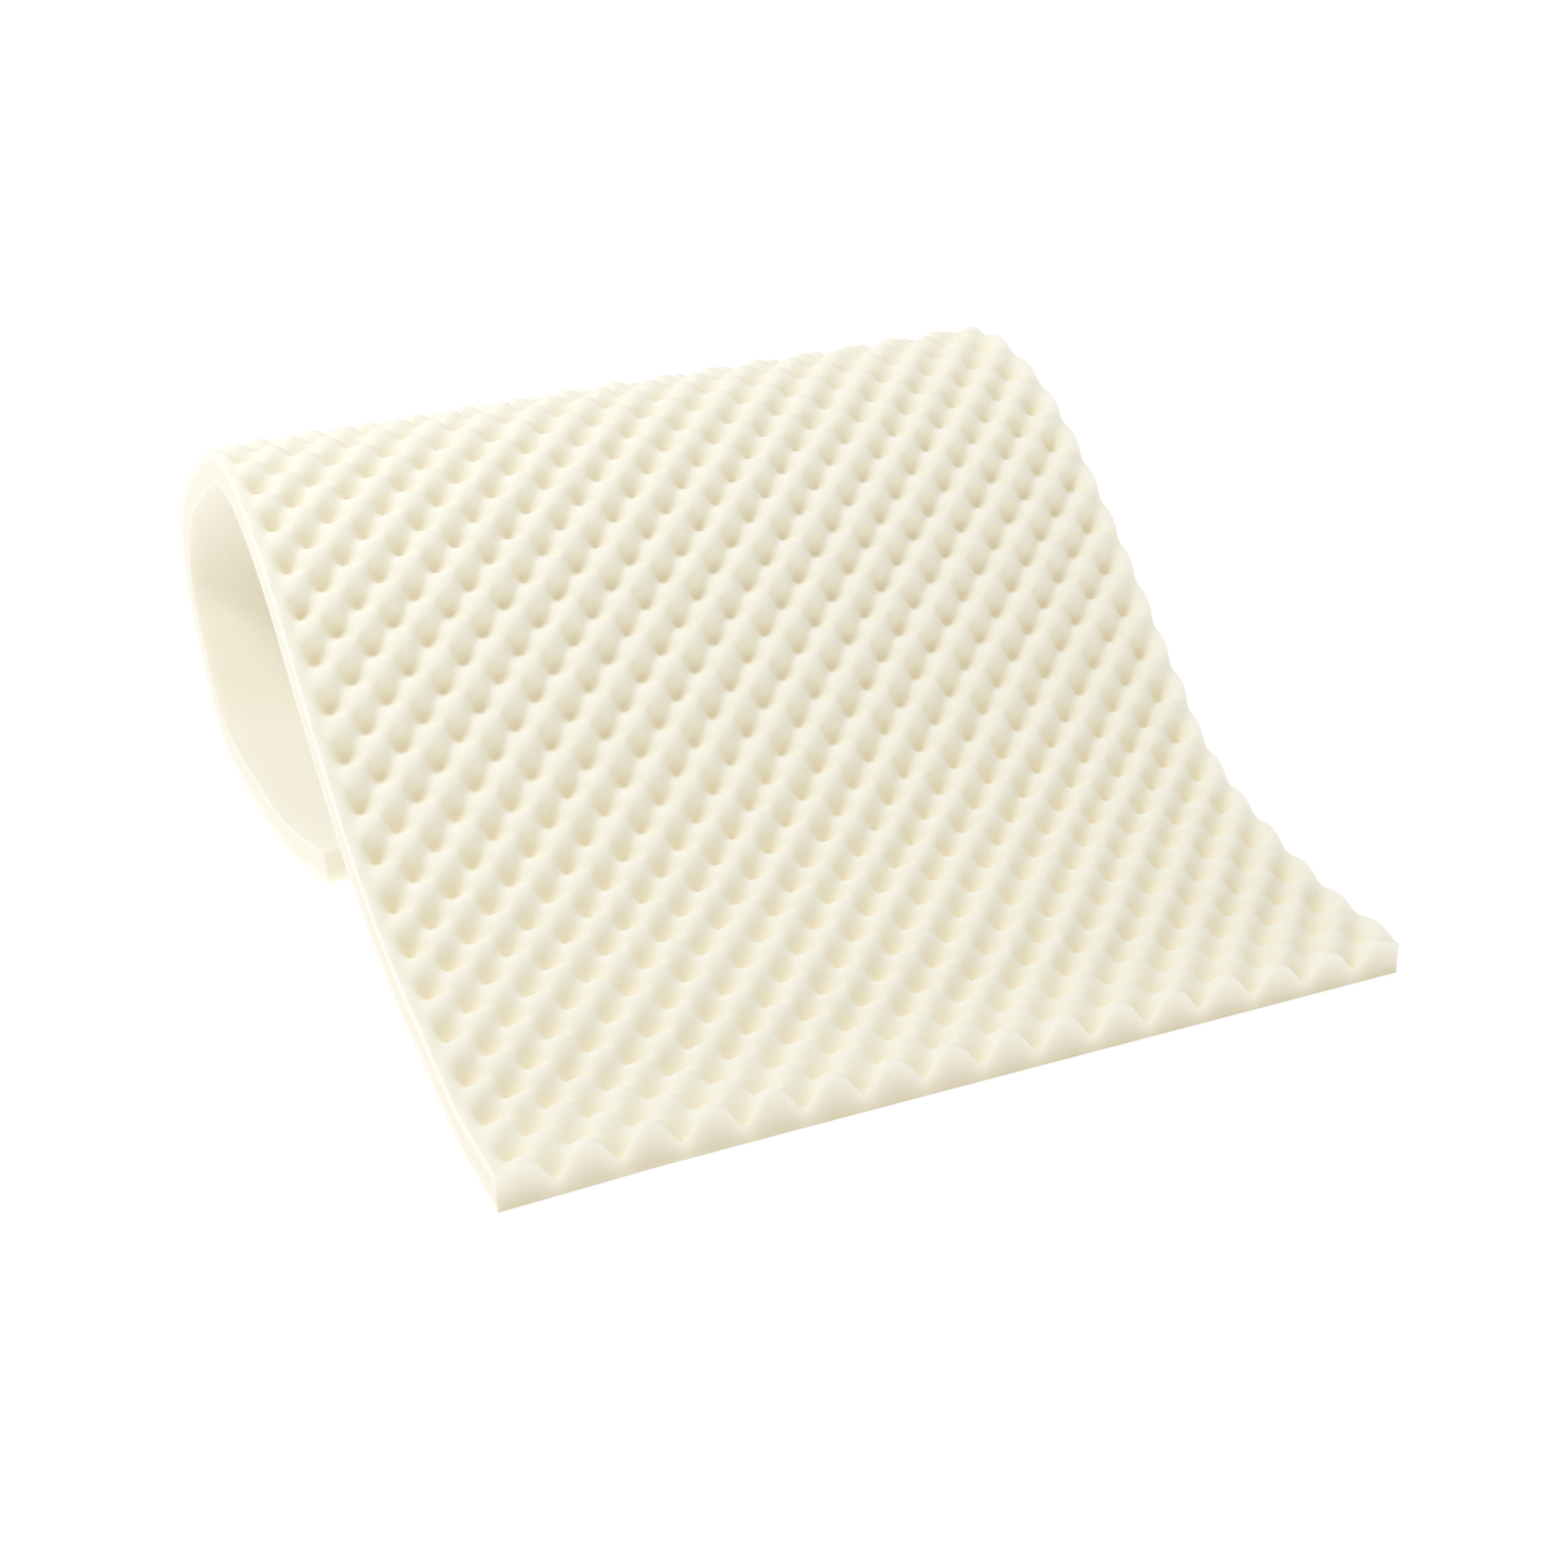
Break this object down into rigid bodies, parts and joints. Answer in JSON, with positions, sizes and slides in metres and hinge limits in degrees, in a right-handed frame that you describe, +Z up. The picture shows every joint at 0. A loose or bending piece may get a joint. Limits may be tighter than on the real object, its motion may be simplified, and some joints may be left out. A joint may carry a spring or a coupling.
{
  "type": "mattress topper",
  "caption": "Convoluted foam mattress topper with an egg-crate upper face, its front end lying flat and its far end curled up, over and under itself.",
  "frame": {"origin": "on the floor, under the middle of the whole curled topper", "axes": "+X across the topper's width, +Y from the flat front end towards the curl, +Z up"},
  "size_m": [1, 1.2098, 0.47],
  "materials": {
    "foam": "matt ivory open-cell foam"
  },
  "bodies": {
    "root": {"foam_topper": "foam"}
  },
  "joints": []
}
